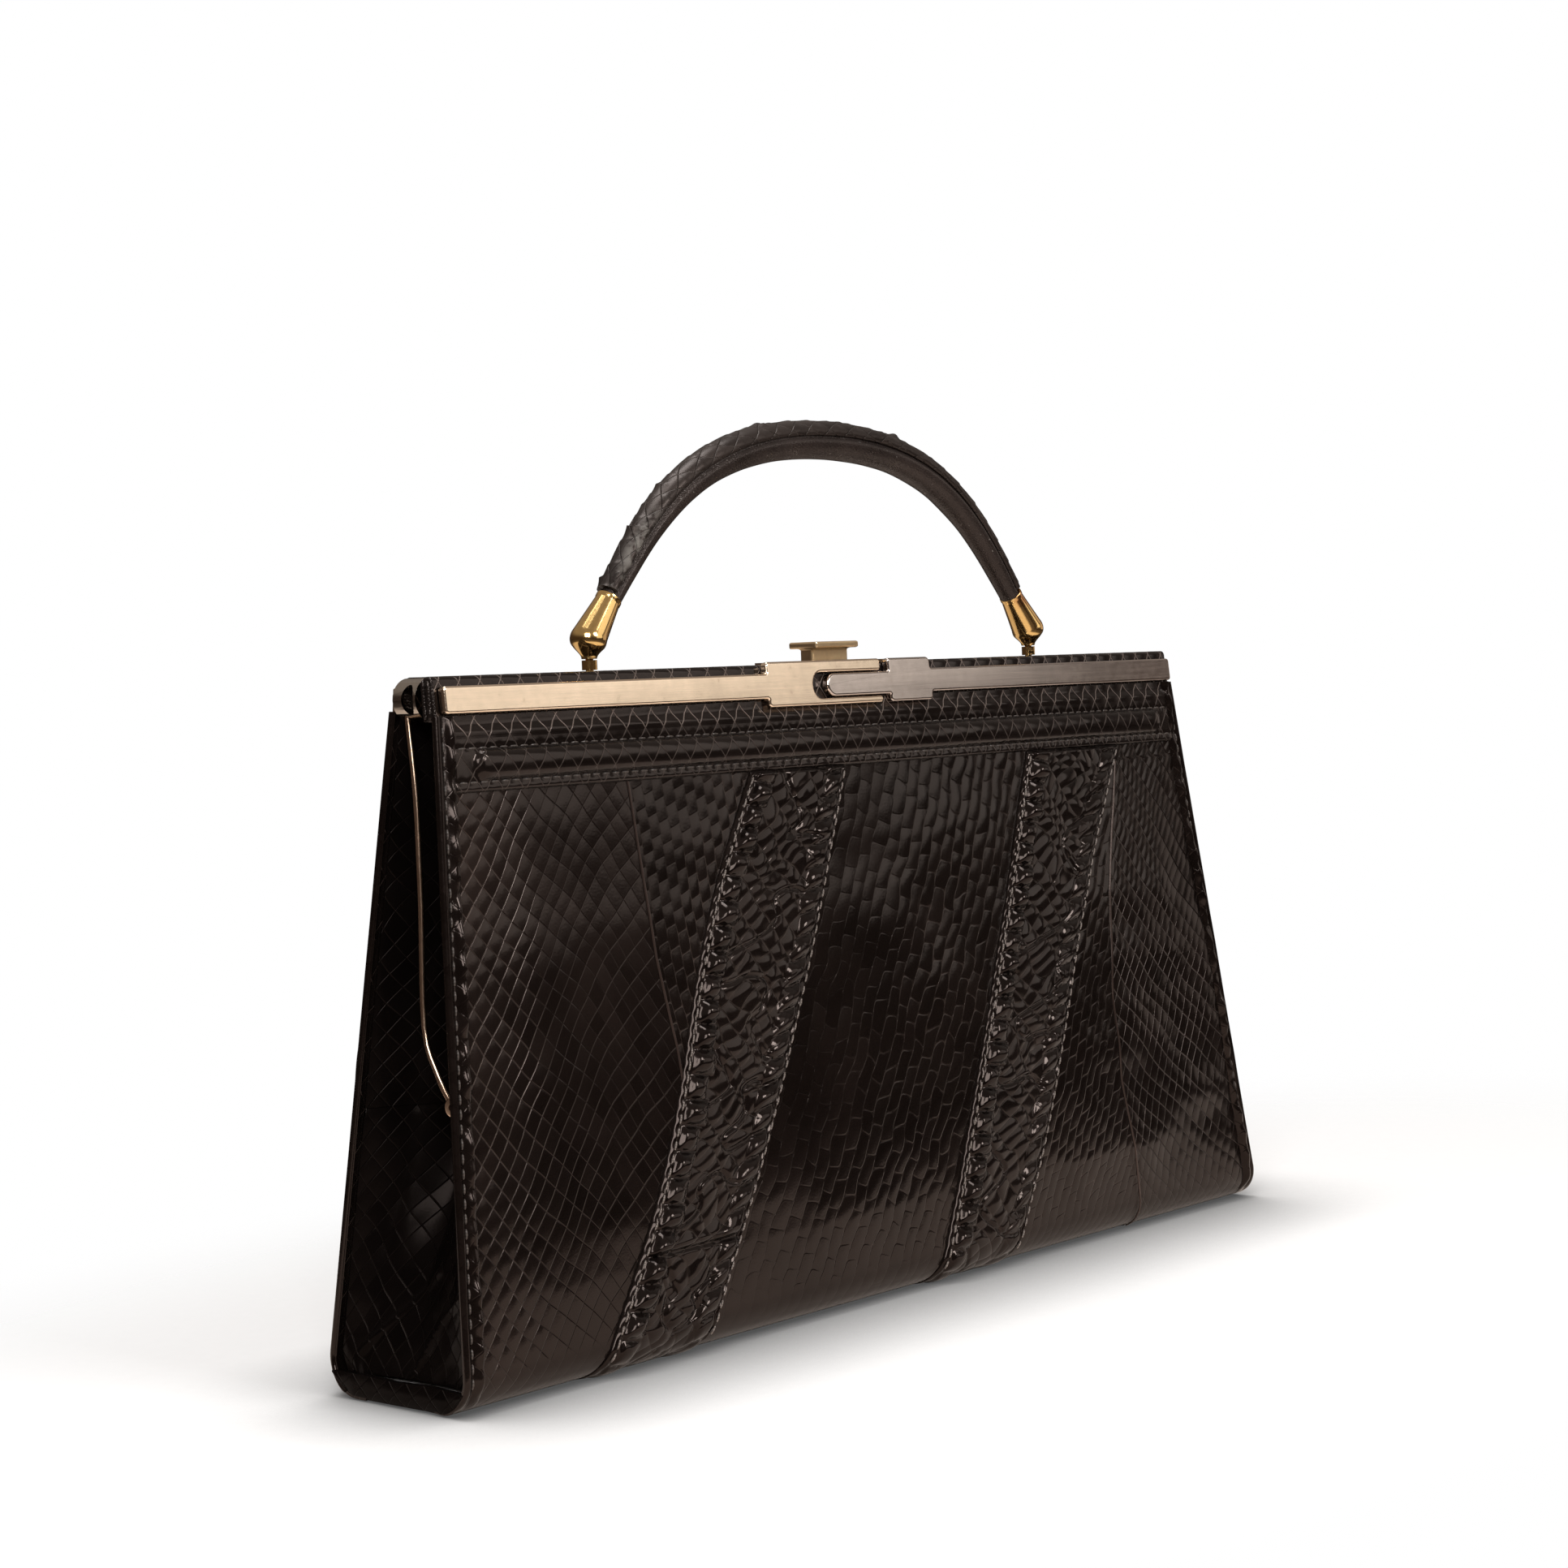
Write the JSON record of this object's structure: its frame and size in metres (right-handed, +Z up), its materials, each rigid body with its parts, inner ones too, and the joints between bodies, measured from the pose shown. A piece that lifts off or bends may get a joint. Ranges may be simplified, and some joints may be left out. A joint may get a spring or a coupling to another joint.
{
  "type": "frame clutch bag",
  "caption": "Slanted leather frame bag with a front frame that swings open on wire stays, a press-down release knob and a fixed arched handle.",
  "frame": {"origin": "middle of the underside of the base, on the surface the bag stands on", "axes": "+X to the bag's right-hand end seen from the front, +Y towards the back, +Z up; the front faces -Y"},
  "size_m": [0.3342, 0.0491, 0.2368],
  "materials": {
    "snakeskin": "glossy black snakeskin, raised scales",
    "smooth_leather": "smooth black leather, soft gloss",
    "lining": "matt lining cloth",
    "board": "pressed fibre board",
    "champagne": "polished pale gold plate",
    "silver": "polished silver plate",
    "gold": "polished gold plate, lightly worn",
    "steel": "pressed steel"
  },
  "bodies": {
    "rear_body": {"base_tray": "smooth_leather", "base_board": "board", "lining_base": "lining", "rear_panel": "snakeskin", "lining_rear": "lining", "front_panel_lower": "snakeskin", "front_fold": "snakeskin", "lining_front_lower": "lining", "gathered_band_left_lower": "snakeskin", "gathered_band_right_lower": "snakeskin", "gusset_left": "snakeskin", "gusset_right": "snakeskin", "rear_frame_cover": "snakeskin", "rear_frame_rail": "steel", "rear_trim_bar": "champagne", "latch_bridge": "steel", "knob_spring": "steel", "end_box_left": "silver", "end_box_right": "silver", "stay_arm_left": "gold", "stay_arm_right": "gold", "stay_rivet_left": "gold", "stay_rivet_right": "gold", "handle_post_left": "gold", "handle_post_right": "gold", "handle_ferrule_left": "gold", "handle_ferrule_right": "gold", "handle_grip": "smooth_leather", "handle_strip": "snakeskin"},
    "front_frame": {"front_frame_cover": "snakeskin", "front_frame_bar": "steel", "keeper_plate": "steel", "front_panel_upper": "snakeskin", "lining_front_upper": "lining", "yoke": "snakeskin", "gathered_band_left_upper": "snakeskin", "gathered_band_right_upper": "snakeskin", "clasp_left": "champagne", "clasp_right": "silver"},
    "knob": {"release_knob": "gold", "catch_plate": "steel"}
  },
  "joints": [
    {"name": "front_frame_swing", "type": "hinge", "parent": "rear_body", "child": "front_frame", "pos_m": [0, -0.0126, 0.07], "axis": [1, 0, 0], "range_deg": [0, 30], "deforming": ["gusset_left", "gusset_right", "front_fold"]},
    {"name": "knob_press", "type": "slide", "parent": "rear_body", "child": "knob", "axis": [0, 0, -1], "range_m": [0, 0.0018], "stiffness_N_per_m": 400, "springref_m": -0.002, "deforming": ["knob_spring"]}
  ]
}
